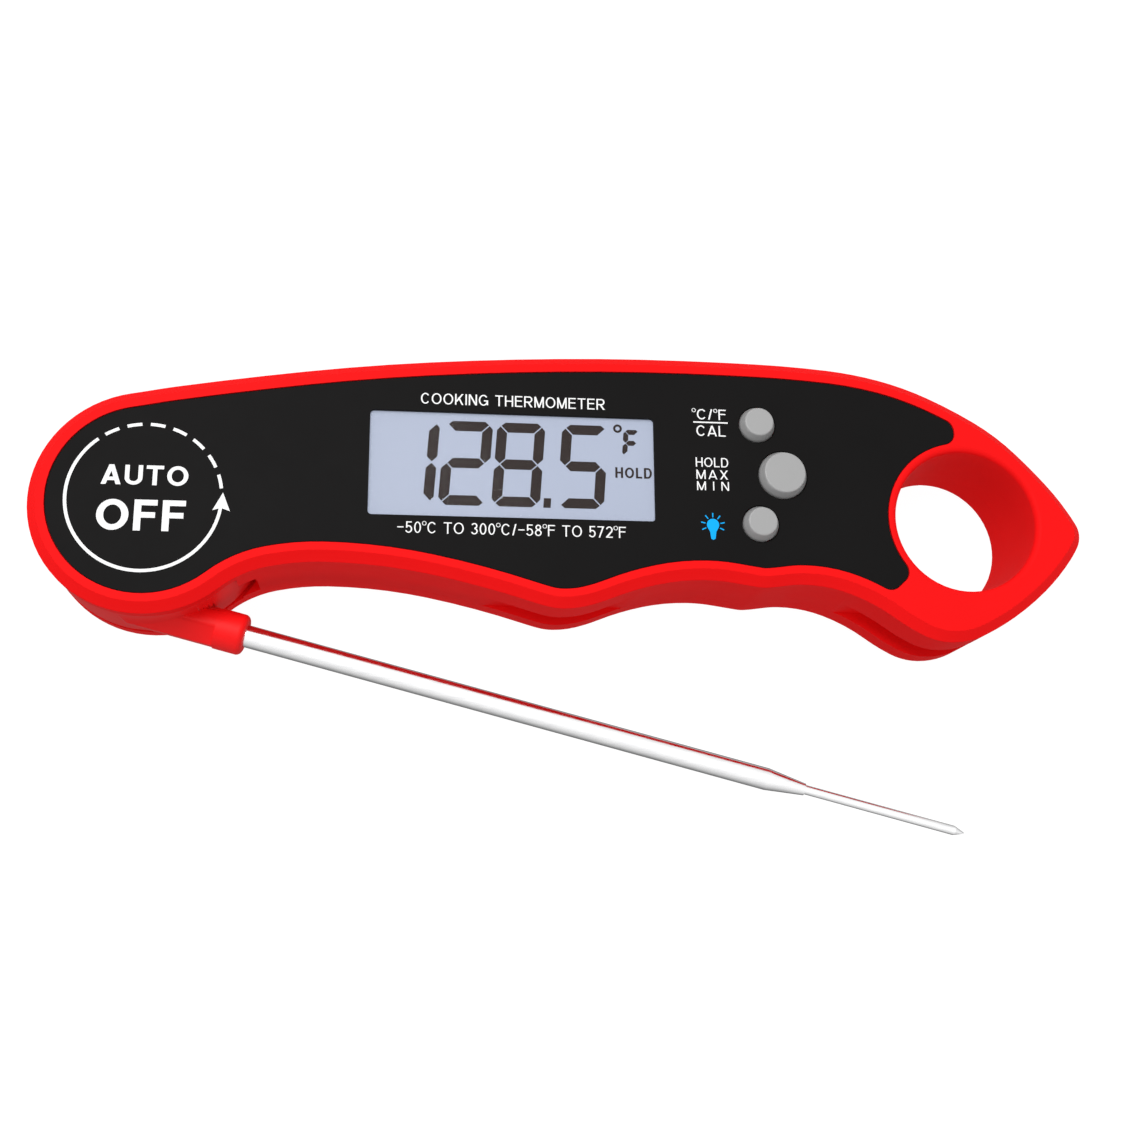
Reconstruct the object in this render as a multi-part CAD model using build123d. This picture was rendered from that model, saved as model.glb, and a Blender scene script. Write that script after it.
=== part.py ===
"""Folding instant-read meat thermometer, as an assembly of separate pieces.

Millimetres.  The origin is the foot of the probe's folding axis on the flat rear
face.  +X runs from that axis to the hanging ring, +Y to the long smooth edge, and
+Z out of the display.  The probe is 15 degrees out of its stowed place.
"""
from build123d import *
from math import cos, radians, sin
import os

# ---- body -----------------------------------------------------------------
BODY_THICKNESS = 19.0        # rear face to the front rim
SPLIT_Z = 5.6                # parting plane between the two covers
WALL = 2.0                   # side walls of the covers
REAR_WALL = 1.8
FRONT_WALL = 2.25            # under the face plate
FRONT_CHAMFER = 1.5
REAR_CHAMFER = 1.6
RING_X = 127.6               # centre of the hanging ring, from the folding axis
RING_RADIUS = 11.5
RING_EDGE = 1.0              # rounding of the ring's edges
RING_WALL = 2.0
MOVING_GAP = 0.3             # air between pieces that pass each other
RUNNING_GAP = 0.05           # radial, a journal in its bush
SLIP_GAP = 0.1               # air round a piece that drops into its seat

# ---- face plate and window ------------------------------------------------
PLATE_INSET = 2.85           # rim of the front cover outside the plate
PLATE_THICKNESS = 0.6
PLATE_SINK = 0.15            # plate surface below the rim
PLATE_RING_GAP = 1.47        # rim left round the ring's hole
PLATE_LOBE_ANGLES = (94.5, 223.0)   # where the plate's two lobes end, seen from the ring
PLATE_LOBE_ROUND = 1.9
WINDOW_CENTRE = (55.13, 6.9)
WINDOW_SIZE = (44.34, 16.86)
WINDOW_ROUND = 0.6

# ---- arm ------------------------------------------------------------------
HUB_RADIUS = 17.3
HUB_EDGE = HUB_RADIUS + 0.1  # the covers' round end, just outside the hub
EAR_FRONT_THICKNESS = 3.2
EAR_REAR_THICKNESS = 4.2
ARM_COVER_THICKNESS = 1.4
HUB_WALL = 3.8
HUB_ROOF = 1.8
JOURNAL_RADIUS = 4.0
JOURNAL_BORE = 2.5
JOURNAL_LENGTH = 1.8
BUSH_WALL = 1.2
PIVOT_SEAL_RADIUS = 7.6
PIVOT_SEAL_CORD = 0.45
ARM_SCREW_PITCH = HUB_RADIUS - 5.7
ARM_SCREW_ANGLES = (50, 140, 320)
ARM_BOSS_RADIUS = 2.3
MAGNET_PIN = 1.5
HUB_MAGNET_ANGLE = 20
REST_ANGLE = -14.8           # probe's direction at rest; 0 is stowed, -180 fully open
NOSE_RADIUS = 3.2
NOSE_LENGTH = 19.0          # from the folding axis, along the probe
NOSE_NECK = 4.4              # the round part of the nose
NOSE_CHAMFER = 2.3
NOSE_STEP = 0.12             # the neck stands this far proud of the web behind it
NOSE_POCKET_END = 16.2       # room for the nose ends here, where the waved edge clears it
NOSE_POCKET_SIDE = -9.1

# ---- probe ----------------------------------------------------------------
PROBE_OFFSET = HUB_RADIUS - 3.0     # folding axis to the probe's axis
PROBE_Z = 8.6
PROBE_RADIUS = 1.75
PROBE_BORE = 1.45
PROBE_STRAIGHT = 83.95       # nose to the start of the taper
PROBE_TAPER = 6.2
NEEDLE_RADIUS = 0.75
NEEDLE_BORE = 0.5
NEEDLE_LENGTH = 26.3         # taper to the point
NEEDLE_POINT = 1.7
PROBE_ROOT = 3.0             # where the tube starts inside the hub
LEAD_RADIUS = 0.33

# ---- keys -----------------------------------------------------------------
KEYS = {"unit": (94.0, 14.9, 2.85), "hold": (97.85, 6.6, 3.85), "light": (94.0, -1.5, 2.85)}
KEY_HEIGHT = 1.6             # above the plate
KEY_GAP = 0.15               # in the plate
KEY_WELL_GAP = 0.35          # in the cover below it
KEY_TRAVEL = 0.5
KEY_FLANGE = 0.7
KEY_FLANGE_THICKNESS = 1.0
KEY_TAPER = 0.6              # the cap's top is this much smaller in radius
KEY_ROUND = 0.3
SWITCH_SIZE = 4.2
SWITCH_HEIGHT = 1.6
PLUNGER_RADIUS = 1.0
SEAL_THICKNESS = 0.5
SEAL_SHEET = (88.6, 104.4, -6.6, 19.9)

# ---- electronics ----------------------------------------------------------
BOARD_Z = 8.6                # underside of the circuit board
BOARD_THICKNESS = 1.0
BOARD_MAIN = (31.0, 105.6, -5.6, 19.6)
BOARD_TONGUE = (HUB_RADIUS + 3.2, 31.5, 0.6, 11.4)
CHIP_PLACE = (44.0, 8.0)
CHIP_SIDE = 7.0
CRYSTAL = (52.0, 55.2, 12.0, 13.6)
LCD_SIZE = (50.0, 22.0)
LCD_THICKNESS = 2.3
CELL_RADIUS = 10.0           # CR2032 cell
CELL_THICKNESS = 3.2
BAY_CENTRE = (71.0, 6.6)
BAY_WALL = 3.6
LID_RADIUS = CELL_RADIUS + 2.5
LID_SEAL_RADIUS = LID_RADIUS - 0.55
LID_SEAL_CORD = 0.32
COIN_SLOT = (16.0, 2.2)
LID_THICKNESS = 1.6
LUG_REACH = 1.2
LUG_ANGLE = 40.0
LID_TURN = 45.0

# ---- fasteners ------------------------------------------------------------
HOUSING_SCREWS = [(25.2, 15.0), (25.2, -3.8), (RING_X - 19.1, 18.6), (RING_X - 19.1, -6.6),
                  (RING_X + 15.3, -1.2)]
SCREW_RADIUS = 1.1
SCREW_HEAD = 2.0
SCREW_HEAD_HEIGHT = 1.5
SCREW_SEAT = 2.3
SCREW_LENGTH = 10.5
BOSS_RADIUS = 2.8
BOARD_SCREWS = [(26.5, 6.0), (85.2, 17.0), (85.2, -3.0)]
REED_PLACE = (min(HUB_RADIUS + 5.7, BOARD_SCREWS[0][0] - 2.6), 6.0)
BOARD_SCREW_RADIUS = 0.8
BOARD_SCREW_LENGTH = 6.0
MAGNET_PLACES = [(42.0, 7.0), (101.5, 6.6)]
MAGNET_RADIUS = 4.0
MAGNET_THICKNESS = 2.4

# ---- levels worked out from the sizes above --------------------------------
PLATE_TOP = BODY_THICKNESS - PLATE_SINK
PLATE_FLOOR = PLATE_TOP - PLATE_THICKNESS
CAVITY_TOP = PLATE_FLOOR - FRONT_WALL
EAR_FRONT_Z = BODY_THICKNESS - EAR_FRONT_THICKNESS
HUB_TOP = EAR_FRONT_Z - MOVING_GAP
HUB_BOTTOM = EAR_REAR_THICKNESS + MOVING_GAP
ARM_SPLIT = HUB_BOTTOM + ARM_COVER_THICKNESS
BOARD_TOP = BOARD_Z + BOARD_THICKNESS
KEY_TOP = PLATE_TOP + KEY_HEIGHT
LCD_TOP = PLATE_FLOOR - 0.15
LCD_Z = LCD_TOP - LCD_THICKNESS
SLOT_TOP = 2 * PROBE_Z - SPLIT_Z - 0.4
SLOT_Y = -(PROBE_OFFSET - PROBE_RADIUS - 0.15)
PROBE_TIP = NOSE_LENGTH + PROBE_STRAIGHT + PROBE_TAPER + NEEDLE_LENGTH
LID_SEAT = LID_THICKNESS + SLIP_GAP
LUG_Z = LID_SEAT + 0.9
LUG_TOP = LUG_Z + 1.0
CELL_Z = LUG_TOP + 0.4
LEAD_FLOOR = 1.2
LEAD_WIDTH = 1.2             # half the lead channel's width
BUSH_FLOOR = EAR_REAR_THICKNESS - 2.0
BUSH_FRONT_TOP = HUB_TOP + JOURNAL_LENGTH + 0.1
SEAL_Z = CAVITY_TOP - 0.1 - KEY_FLANGE_THICKNESS - KEY_TRAVEL - 0.2 - SEAL_THICKNESS
PLUNGER_TOP = BOARD_TOP + SWITCH_HEIGHT + KEY_TRAVEL + 0.3



def on_circle(radius, angle):
    """A place on a circle round the origin, to a hundredth of a millimetre."""
    return round(radius * cos(radians(angle)), 2), round(radius * sin(radians(angle)), 2)


HUB_MAGNET = on_circle(HUB_RADIUS - 2.1, HUB_MAGNET_ANGLE)
ARM_SCREWS = [on_circle(ARM_SCREW_PITCH, angle) for angle in ARM_SCREW_ANGLES]

# Points of the outer edge: place and heading.  Round stretches run between them.
OUTLINE = [
    (*on_circle(HUB_EDGE, -50), 40.0),
    (HUB_EDGE + 9.2, -8.87, 0.0),
    (58.0, -14.37, -17.5),
    (62.9, -15.38, 0.0),
    (70.5, -13.6, 22.5),
    (85.3, -10.43, 0.0),
    (93.6, -11.38, -8.5),
    (96.2, -11.30, 7.5),
    (100.7, -10.83, 0.0),
    (RING_X - 12.3, -15.9, -36.0),
    (RING_X - 3.4, -19.6, 0.0),
    (RING_X + 7.2, -15.4, 34.0),
    (RING_X + 17.4, -5.7, 54.0),
    (RING_X + 19.2, -1.6, 90.0),
    (RING_X + 17.9, 1.7, 121.0),
    (RING_X + 9.5, 11.9, 135.0),
    (RING_X - 4.7, 21.0, 156.0),
    (RING_X - 21.3, 25.15, 175.0),
    (82.4, 25.9, 180.0),
    (42.1, 24.0, 185.2),
    (3.6, HUB_EDGE + 1.1, 190.4),
    (*on_circle(HUB_EDGE, 101), 191.0),
    (-HUB_EDGE, 0.0, 270.0),
]


# ---- small helpers ----------------------------------------------------------
def heading(degrees):
    return Vector(cos(radians(degrees)), sin(radians(degrees)), 0)


def round_stretch(start, end):
    """Two arcs that leave one point and reach the next along their headings."""
    p, q = Vector(*start[:2], 0), Vector(*end[:2], 0)
    u, v = heading(start[2]), heading(end[2])
    chord = q - p
    both = u + v
    a = 2 * (1 - u.dot(v))
    b = 2 * chord.dot(both)
    c = -chord.dot(chord)
    if a < 1e-9:
        reach = -c / b
    else:
        reach = (-b + (b * b - 4 * a * c) ** 0.5) / (2 * a)
    middle = (p + u * reach + q - v * reach) * 0.5
    arcs = []
    for here, there, way in ((p, middle, u), (q, middle, v * -1)):
        straight = abs((there - here).cross(way).Z) < 1e-4
        arcs.append(Line(here, there) if straight else TangentArc(here, there, tangent=way))
    return arcs


def closed_outline(points):
    edges = []
    for start, end in zip(points, points[1:] + points[:1]):
        edges += round_stretch(start, end)
    return make_face(Wire([edge.edge() for edge in edges]))


def prism(face, low, high):
    return Pos(0, 0, low) * extrude(face, amount=high - low, dir=(0, 0, 1))


def disc(x, y, radius, low, high):
    seat = (Align.CENTER, Align.CENTER, Align.MIN)
    return Pos(x, y, low) * Cylinder(radius, high - low, align=seat)


def tube(x, y, radius, bore, low, high):
    return disc(x, y, radius, low, high) - disc(x, y, bore, low - 1, high + 1)


def block(x0, x1, y0, y1, low, high):
    return Pos((x0 + x1) / 2, (y0 + y1) / 2, (low + high) / 2) * Box(x1 - x0, y1 - y0, high - low)


def rod(x0, x1, y, z, radius):
    """A round bar along +X."""
    return Pos(x0, y, z) * Rot(0, 90, 0) * Cylinder(
        radius, x1 - x0, align=(Align.CENTER, Align.CENTER, Align.MIN))


def plate_at(centre, size, rounding, low, high):
    shape = RectangleRounded(size[0], size[1], rounding)
    return Pos(centre[0], centre[1], 0) * prism(shape, low, high)


def circle_face(x, y, radius):
    return Pos(x, y) * Circle(radius)


def main_face(shape):
    return max(shape.faces(), key=lambda face: face.area)


def save(name, shape):
    solids = shape.solids()
    whole = solids[0] if len(solids) == 1 else Compound(children=list(solids))
    export_step(whole, f"parts/{name}.step")
    print(f"{name}: {len(solids)} solid(s), {sum(s.volume for s in solids):.1f} mm3")


# ---- shared outlines --------------------------------------------------------
def body_outline():
    return closed_outline(OUTLINE)


def cavity_outline(body):
    """Room for the electronics, inside every wall."""
    room = main_face(offset(body, amount=-WALL, kind=Kind.ARC))
    room -= circle_face(RING_X, 0, RING_RADIUS + RING_WALL)
    room -= circle_face(0, 0, HUB_RADIUS + 2 * MOVING_GAP + REAR_WALL - 0.2)
    below_slot = Pos(RING_X / 2, SLOT_Y + 1.4 - 20) * Rectangle(3 * RING_X, 40)
    pocket_wall = NOSE_POCKET_END + 1.6
    beside_pocket = Pos(pocket_wall / 2, NOSE_POCKET_SIDE + 1.5 - 20) * Rectangle(pocket_wall, 40)
    room -= below_slot
    room -= beside_pocket
    return main_face(room)


def plate_outline(body, grow=0.0):
    """The face plate's edge, with the two lobes that end beside the ring."""
    face = main_face(offset(body, amount=-PLATE_INSET, kind=Kind.ARC))
    face -= circle_face(RING_X, 0, RING_RADIUS + PLATE_RING_GAP)
    first, last = PLATE_LOBE_ANGLES
    far = 4 * RING_RADIUS
    centre = Vector(RING_X, 0, 0)
    reach = [centre + heading(angle) * far for angle in (first, 45, 0, -45, last - 360)]
    wedge = make_face(Polyline(centre, *reach, centre, close=False))
    face = main_face(face - wedge)
    tips = []
    for vertex in face.vertices():
        from_ring = Vector(vertex.X, vertex.Y, 0) - centre
        if any(from_ring.length < 2 * RING_RADIUS and from_ring.get_angle(heading(angle)) < 0.1
               for angle in PLATE_LOBE_ANGLES):
            tips.append(vertex)
    face = face.fillet_2d(PLATE_LOBE_ROUND, tips)
    if grow:
        face = offset(face, amount=grow, kind=Kind.ARC)
    return main_face(face)


# ---- covers -----------------------------------------------------------------
def hub_room(low, high):
    return disc(0, 0, HUB_RADIUS + 2 * MOVING_GAP, low, high)


def stow_slot():
    """The channel that the folded probe lies in, open along the waved edge."""
    return block(45, PROBE_TIP + 1.6, SLOT_Y - 20, SLOT_Y, SPLIT_Z, SLOT_TOP)


def nose_pocket():
    """Room beside the hub for the nose when the probe is stowed."""
    reach = NOSE_RADIUS + MOVING_GAP
    return block(0, NOSE_POCKET_END, -30, NOSE_POCKET_SIDE, PROBE_Z - reach, PROBE_Z + reach)


def ring_hole():
    return disc(RING_X, 0, RING_RADIUS, -1, BODY_THICKNESS + 1)


def ring_edge(shape, level):
    rim = [edge for edge in shape.edges().filter_by(GeomType.CIRCLE)
           if abs(edge.radius - RING_RADIUS) < 1e-3 and abs(edge.center().Z - level) < 1e-3]
    return fillet(rim, RING_EDGE)


def edge_chamfer(shape, level, size):
    outer = max(shape.faces().filter_by(Plane.XY),
                key=lambda face: (abs(face.center().Z - level) < 1e-3, face.area))
    return chamfer(outer.outer_wire().edges(), size)


def make_front_cover(body, room, plate):
    cover = prism(body, SPLIT_Z, BODY_THICKNESS)
    cover = edge_chamfer(cover, BODY_THICKNESS, FRONT_CHAMFER)
    cover -= prism(room, SPLIT_Z - 1, CAVITY_TOP)
    cover -= hub_room(SPLIT_Z - 1, EAR_FRONT_Z)
    cover -= nose_pocket()
    cover -= stow_slot()
    # bosses for the housing screws and the board screws
    for x, y in HOUSING_SCREWS:
        boss = disc(x, y, BOSS_RADIUS, SPLIT_Z, CAVITY_TOP + 0.5)
        cover += boss - ring_hole()
    for x, y in BOARD_SCREWS:
        cover += disc(x, y, BOSS_RADIUS - 0.6, BOARD_TOP, CAVITY_TOP + 0.5)
    # frame that clamps the key seal against the board
    cover += seal_frame()
    cover -= ring_hole()
    cover = ring_edge(cover, BODY_THICKNESS)
    cover -= prism(offset(plate, amount=SLIP_GAP, kind=Kind.ARC), PLATE_FLOOR, BODY_THICKNESS + 1)
    lcd_room = (LCD_SIZE[0] + 2 * SLIP_GAP, LCD_SIZE[1] + 2 * SLIP_GAP)
    cover -= plate_at(WINDOW_CENTRE, lcd_room, 0.4, CAVITY_TOP - 1, BODY_THICKNESS)
    for x, y, radius in KEYS.values():
        cover -= disc(x, y, radius + KEY_WELL_GAP, CAVITY_TOP - 1, BODY_THICKNESS)
    for x, y in HOUSING_SCREWS:
        cover -= disc(x, y, SCREW_RADIUS + 0.02, SPLIT_Z - 1, SCREW_SEAT + SCREW_LENGTH + 0.5)
    for x, y in BOARD_SCREWS:
        cover -= disc(x, y, BOARD_SCREW_RADIUS + 0.02, BOARD_TOP - 1,
                      BOARD_Z + BOARD_SCREW_LENGTH + 0.5)
    cover -= disc(0, 0, JOURNAL_RADIUS + RUNNING_GAP + BUSH_WALL, EAR_FRONT_Z - 1, BUSH_FRONT_TOP)
    cover -= tube(0, 0, PIVOT_SEAL_RADIUS + 0.6, PIVOT_SEAL_RADIUS - 0.6, EAR_FRONT_Z - 1,
                  EAR_FRONT_Z + 0.85)
    return cover


def seal_frame():
    x0, x1, y0, y1 = SEAL_SHEET
    outer = block(x0, x1, y0, y1, SEAL_Z + SEAL_THICKNESS, CAVITY_TOP + 0.5)
    inner = block(x0 + 1.2, x1 - 1.2, y0 + 1.2, y1 - 1.2, SEAL_Z - 1, CAVITY_TOP + 1)
    return outer - inner


def make_rear_cover(body, room):
    cover = prism(body, 0, SPLIT_Z)
    cover = edge_chamfer(cover, 0, REAR_CHAMFER)
    cover -= prism(room, REAR_WALL, SPLIT_Z + 1)
    cover -= hub_room(EAR_REAR_THICKNESS, SPLIT_Z + 1)
    cover -= nose_pocket()
    for x, y in HOUSING_SCREWS:
        cover += disc(x, y, BOSS_RADIUS + 0.4, 0, SPLIT_Z) & prism(body, 0, SPLIT_Z)
    bx, by = BAY_CENTRE
    cover += disc(bx, by, CELL_RADIUS + BAY_WALL, 0, SPLIT_Z)
    for x, y in MAGNET_PLACES:
        cover += tube(x, y, MAGNET_RADIUS + 1.1, MAGNET_RADIUS + SLIP_GAP, REAR_WALL - 0.2,
                      REAR_WALL + 1.6)
    cover -= ring_hole()
    cover = ring_edge(cover, 0)
    for x, y in HOUSING_SCREWS:
        cover -= disc(x, y, SCREW_RADIUS + 0.1, -1, SPLIT_Z + 1)
        cover -= disc(x, y, SCREW_HEAD + 0.25, -1, SCREW_SEAT)
    for x, y in MAGNET_PLACES:
        cover -= disc(x, y, MAGNET_RADIUS + SLIP_GAP, REAR_WALL - 0.6, REAR_WALL)
    # battery bay: seat for the lid, bayonet groove and its two ways in, room for the cell
    cover -= disc(bx, by, LID_RADIUS + 0.15, -1, LID_SEAT)
    cover -= disc(bx, by, CELL_RADIUS + 0.25, 0, SPLIT_Z + 1)
    cover -= disc(bx, by, CELL_RADIUS + LUG_REACH + 0.2, LUG_Z - 0.15, LUG_TOP + 0.15)
    for side in (0, 180):
        entry = lid_lug(side - LID_TURN, LUG_REACH + 0.2, LUG_ANGLE + 4, LID_SEAT - 1, LUG_TOP)
        cover -= entry
    cover -= tube(bx, by, LID_SEAL_RADIUS + 0.45, LID_SEAL_RADIUS - 0.45, LID_SEAT - 1, LID_SEAT + 0.75)
    # folding axis: bush seat, lead channel and its sealing groove
    cover -= disc(0, 0, JOURNAL_RADIUS + RUNNING_GAP + BUSH_WALL, BUSH_FLOOR, SPLIT_Z)
    cover -= disc(0, 0, JOURNAL_RADIUS - 0.4, LEAD_FLOOR, SPLIT_Z)
    channel_end = HUB_RADIUS + 4.5
    cover -= block(0, channel_end, -LEAD_WIDTH, LEAD_WIDTH, LEAD_FLOOR, LEAD_FLOOR + 1.3)
    cover -= block(0, HUB_RADIUS + MOVING_GAP, -LEAD_WIDTH, LEAD_WIDTH, LEAD_FLOOR, SPLIT_Z)
    cover -= tube(0, 0, PIVOT_SEAL_RADIUS + 0.6, PIVOT_SEAL_RADIUS - 0.6, EAR_REAR_THICKNESS - 0.85,
                  SPLIT_Z)
    cover -= gasket_band(room, 0.35, 1.15, SPLIT_Z - 0.7, SPLIT_Z + 1)
    return cover


def gasket_band(room, inner, outer, low, high):
    wide = main_face(offset(room, amount=outer, kind=Kind.ARC))
    narrow = main_face(offset(room, amount=inner, kind=Kind.ARC))
    return prism(main_face(wide - narrow), low, high)


# ---- battery bay --------------------------------------------------------------
def lid_lug(angle, reach, spread, low, high):
    bx, by = BAY_CENTRE
    rays = [heading(angle + spread * share) * 2 * LID_RADIUS for share in (-0.5, -0.25, 0, 0.25, 0.5)]
    sector = make_face(Polyline((0, 0), *rays, (0, 0)))
    ring = Circle(CELL_RADIUS + reach) - Circle(CELL_RADIUS - 2.2)
    return Pos(bx, by, 0) * prism(main_face(ring & sector), low, high)


def make_battery_cover():
    bx, by = BAY_CENTRE
    lid = disc(bx, by, LID_RADIUS, 0, LID_THICKNESS)
    lid = chamfer(lid.edges().group_by(Axis.Z)[0], 0.3)
    lid += tube(bx, by, CELL_RADIUS - 0.05, CELL_RADIUS - 2.0, LID_THICKNESS - 0.5, LUG_TOP)
    for side in (0, 180):
        lid += lid_lug(side, LUG_REACH, LUG_ANGLE, LUG_Z, LUG_TOP)
    coin_slot = Pos(bx, by, 0) * prism(SlotOverall(*COIN_SLOT), -1, 0.9)
    arrow_dot = disc(bx, by + LID_RADIUS - 2.2, 0.7, -1, 0.3)
    return lid - coin_slot - arrow_dot


def make_battery_contacts():
    """Spring clip on the cell's can, and the sprung tongue on its rear face."""
    bx, by = BAY_CENTRE
    top = CELL_Z + CELL_THICKNESS
    plus = block(bx - 2.0, bx + 2.0, by - 7.0, by + 7.0, top + 0.02, top + 0.27)
    for end in (-1, 1):
        plus += block(bx - 1.0, bx + 1.0, by + end * 6.8 - 0.2, by + end * 6.8 + 0.2,
                      top + 0.02, BOARD_Z)
    minus = block(bx + 4.0, bx + 7.5, by - 1.0, by + 1.0, top + 0.02, top + 0.27)
    minus += block(bx + 7.1, bx + 7.5, by - 1.0, by + 1.0, top + 0.02, BOARD_Z)
    return Compound(children=[plus.solids()[0], minus.solids()[0]])


# ---- arm -----------------------------------------------------------------------
def arm_turn(shape, angle=REST_ANGLE):
    return Rot(0, 0, angle) * shape


def make_nose():
    """Built with the probe stowed, along +X: a web beside the hub that ends in a round neck."""
    shoulder = NOSE_LENGTH - NOSE_NECK
    low, high = PROBE_Z - NOSE_RADIUS + NOSE_STEP, PROBE_Z + NOSE_RADIUS - NOSE_STEP
    outer = -(HUB_RADIUS - 0.04)
    inner = -(PROBE_OFFSET - NOSE_RADIUS + NOSE_STEP)
    web = block(0, shoulder + NOSE_NECK / 2, outer, inner, low, high)
    ridges = web.edges().filter_by(Axis.X)
    web = chamfer([edge for edge in ridges if abs(edge.center().Y - outer) < 1e-3], NOSE_CHAMFER)
    ridges = web.edges().filter_by(Axis.X)
    web = fillet([edge for edge in ridges if abs(edge.center().Y - inner) < 1e-3], NOSE_RADIUS - 0.2)
    neck = rod(shoulder, NOSE_LENGTH, -PROBE_OFFSET, PROBE_Z, NOSE_RADIUS)
    neck = fillet(neck.edges().group_by(Axis.X)[-1], 0.9)
    return web + neck


def make_probe_arm():
    hub = disc(0, 0, HUB_RADIUS, ARM_SPLIT, HUB_TOP)
    hub = fillet(hub.edges().group_by(Axis.Z)[-1], 0.4)
    hub += make_nose() - disc(0, 0, HUB_RADIUS + SLIP_GAP, 0, ARM_SPLIT)
    hub += disc(0, 0, JOURNAL_RADIUS, HUB_TOP - 1, HUB_TOP + JOURNAL_LENGTH)
    hub -= disc(0, 0, HUB_RADIUS - HUB_WALL, ARM_SPLIT - 1, HUB_TOP - HUB_ROOF)
    for x, y in ARM_SCREWS:
        hub += disc(x, y, ARM_BOSS_RADIUS, ARM_SPLIT, HUB_TOP - 1)
        hub -= disc(x, y, 0.72, ARM_SPLIT - 1, ARM_SPLIT + 5.5)
    # bore for the tube, its seal, and the way for the leads into the hub
    hub -= rod(PROBE_ROOT, NOSE_LENGTH + 1, -PROBE_OFFSET, PROBE_Z, PROBE_RADIUS + 0.02)
    hub -= rod(NOSE_LENGTH - 3.2, NOSE_LENGTH - 2.0, -PROBE_OFFSET, PROBE_Z, PROBE_RADIUS + 0.7)
    hub -= block(-3, PROBE_ROOT + 0.3, -PROBE_OFFSET - 1.3, -9, PROBE_Z - 1.3, PROBE_Z + 1.3)
    hub -= disc(*HUB_MAGNET, MAGNET_PIN + 0.05, ARM_SPLIT - 1, ARM_SPLIT + 3.1)
    return hub


def make_arm_cover():
    cover = disc(0, 0, HUB_RADIUS, HUB_BOTTOM, ARM_SPLIT)
    cover = fillet(cover.edges().group_by(Axis.Z)[0], 0.4)
    cover += disc(0, 0, JOURNAL_RADIUS, HUB_BOTTOM - JOURNAL_LENGTH, ARM_SPLIT)
    cover -= disc(0, 0, JOURNAL_BORE, 0, ARM_SPLIT + 1)
    for x, y in ARM_SCREWS:
        cover -= disc(x, y, 0.85, 0, ARM_SPLIT + 1)
        cover -= disc(x, y, 1.6, 0, HUB_BOTTOM + 0.7)
    return cover


def make_arm_screws():
    screws = []
    for x, y in ARM_SCREWS:
        screw = disc(x, y, 1.45, HUB_BOTTOM + 0.05, HUB_BOTTOM + 0.7)
        screw += disc(x, y, 0.7, HUB_BOTTOM + 0.7, HUB_BOTTOM + 6.2)
        screws.append(screw.solids()[0])
    return Compound(children=screws)


def ring_seal(x, y, major, minor, level):
    return Pos(x, y, level) * Torus(major, minor)


# ---- probe -----------------------------------------------------------------------
def make_probe_tube():
    start = NOSE_LENGTH + PROBE_STRAIGHT
    end = start + PROBE_TAPER
    profile = Polyline((PROBE_ROOT, PROBE_BORE), (PROBE_ROOT, PROBE_RADIUS), (start, PROBE_RADIUS),
                       (end, NEEDLE_RADIUS + 0.2), (end, NEEDLE_RADIUS + 0.01),
                       (end - 3, NEEDLE_RADIUS + 0.01), (end - 3, NEEDLE_BORE),
                       (start, PROBE_BORE), (PROBE_ROOT, PROBE_BORE))
    shape = revolve(make_face(profile), axis=Axis.X)
    return Pos(0, -PROBE_OFFSET, PROBE_Z) * shape


def make_probe_needle():
    start = NOSE_LENGTH + PROBE_STRAIGHT + PROBE_TAPER - 3
    shoulder = PROBE_TIP - NEEDLE_POINT
    profile = Polyline((start, NEEDLE_BORE), (start, NEEDLE_RADIUS), (shoulder, NEEDLE_RADIUS),
                       (PROBE_TIP, 0.12), (PROBE_TIP, 0), (shoulder, 0), (shoulder, NEEDLE_BORE),
                       (start, NEEDLE_BORE))
    shape = revolve(make_face(profile), axis=Axis.X)
    return Pos(0, -PROBE_OFFSET, PROBE_Z) * shape


def make_thermistor():
    end = PROBE_TIP - NEEDLE_POINT - 0.1
    bead = Pos(end - 1.4, -PROBE_OFFSET, PROBE_Z) * Rot(0, 90, 0) * Cylinder(
        NEEDLE_BORE - 0.08, 2.6, align=(Align.CENTER, Align.CENTER, Align.CENTER))
    return fillet(bead.edges(), 0.3)


def make_sensor_leads():
    """Twin core from the sensor up the probe, through the hub and down the journal."""
    start = PROBE_TIP - NEEDLE_POINT - 2.9
    path = FilletPolyline((start, -PROBE_OFFSET, PROBE_Z), (-0.5, -PROBE_OFFSET, PROBE_Z),
                          (-7.0, -6.0, PROBE_Z), (0, 0, PROBE_Z),
                          (0, 0, HUB_BOTTOM - JOURNAL_LENGTH + 0.1), radius=2.2)
    return sweep(Plane(path @ 0, z_dir=path % 0) * Circle(LEAD_RADIUS), path=path)


def make_board_leads():
    level, end = LEAD_FLOOR + 0.55, HUB_RADIUS + 4.0
    path = FilletPolyline((0, 0, BUSH_FLOOR + 0.1), (0, 0, level), (end, 0, level), (end, 0, BOARD_Z),
                          radius=0.42)
    return sweep(Plane(path @ 0, z_dir=path % 0) * Circle(LEAD_RADIUS), path=path)


# ---- keys and switches ---------------------------------------------------------------
def make_key(x, y, radius):
    seat = (Align.CENTER, Align.CENTER, Align.MIN)
    cap = Pos(x, y, PLATE_TOP) * Cone(radius, radius - KEY_TAPER, KEY_HEIGHT, align=seat)
    cap = fillet(cap.edges().group_by(Axis.Z)[-1], KEY_ROUND)
    key = cap + disc(x, y, radius, CAVITY_TOP - 0.2, PLATE_TOP)
    flange_top = CAVITY_TOP - 0.1
    key += disc(x, y, radius + KEY_FLANGE, flange_top - KEY_FLANGE_THICKNESS, flange_top)
    key += disc(x, y, PLUNGER_RADIUS + 0.4, PLUNGER_TOP, CAVITY_TOP)
    return key


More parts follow.
